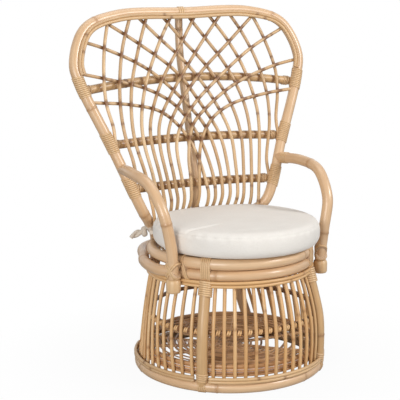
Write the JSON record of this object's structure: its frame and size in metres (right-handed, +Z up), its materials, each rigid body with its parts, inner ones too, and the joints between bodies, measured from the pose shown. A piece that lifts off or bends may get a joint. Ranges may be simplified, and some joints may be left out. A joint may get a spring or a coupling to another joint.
{
  "type": "peacock chair",
  "caption": "Round rattan peacock chair with a tall hooped lattice back, bent arms, a skirt of upright rods on a foot ring and a loose round seat cushion.",
  "frame": {"origin": "middle of the chair's bounding box on the floor, a little behind the middle of the foot ring", "axes": "+Z up, -Y to the front where the sitter's legs go, +X to the right of someone who faces the chair's front"},
  "size_m": [0.847, 0.6642, 1.1205],
  "materials": {
    "rattan_pole": "satin varnished cane",
    "rattan_core": "satin varnished cane core",
    "rattan_peel": "satin rattan peel",
    "cushion_fabric": "matte woven cotton",
    "tie_fabric": "matte cotton tape"
  },
  "bodies": {
    "root": {"back_hoop": "rattan_pole", "seat_ring_upper": "rattan_pole", "seat_ring_lower": "rattan_pole", "foot_ring": "rattan_pole", "crossbar_lower": "rattan_pole", "crossbar_middle": "rattan_pole", "crossbar_upper": "rattan_pole", "back_centre_post": "rattan_pole", "arm_left": "rattan_pole", "arm_right": "rattan_pole", "front_upright_left": "rattan_pole", "front_upright_right": "rattan_pole", "back_rod_front_01": "rattan_core", "back_rod_front_02": "rattan_core", "back_rod_front_03": "rattan_core", "back_rod_front_04": "rattan_core", "back_rod_front_05": "rattan_core", "back_rod_front_06": "rattan_core", "back_rod_front_07": "rattan_core", "back_rod_front_08": "rattan_core", "back_rod_front_09": "rattan_core", "back_rod_front_10": "rattan_core", "back_rod_rear_01": "rattan_core", "back_rod_rear_02": "rattan_core", "back_rod_rear_03": "rattan_core", "back_rod_rear_04": "rattan_core", "back_rod_rear_05": "rattan_core", "back_rod_rear_06": "rattan_core", "back_rod_rear_07": "rattan_core", "back_rod_rear_08": "rattan_core", "back_rod_rear_09": "rattan_core", "back_rod_rear_10": "rattan_core", "hoop_trim_outer": "rattan_core", "hoop_trim_inner": "rattan_core", "apron_rod_front": "rattan_core", "apron_rod_rear": "rattan_core", "skirt_front": "rattan_core", "skirt_sides": "rattan_core", "mid_ring": "rattan_core", "foot_trim_front": "rattan_core", "foot_trim_right": "rattan_core", "foot_trim_back": "rattan_core", "foot_trim_left": "rattan_core", "seat_deck": "rattan_core", "base_deck": "rattan_core", "binding_lower_left": "rattan_peel", "binding_lower_right": "rattan_peel", "binding_middle_left": "rattan_peel", "binding_middle_right": "rattan_peel", "binding_upper_left": "rattan_peel", "binding_upper_right": "rattan_peel", "binding_arm_left": "rattan_peel", "binding_arm_right": "rattan_peel", "binding_upright_left": "rattan_peel", "binding_upright_right": "rattan_peel", "binding_foot_left": "rattan_peel", "binding_foot_right": "rattan_peel", "cushion": "cushion_fabric", "tie_left": "tie_fabric", "tie_right": "tie_fabric"}
  },
  "joints": []
}
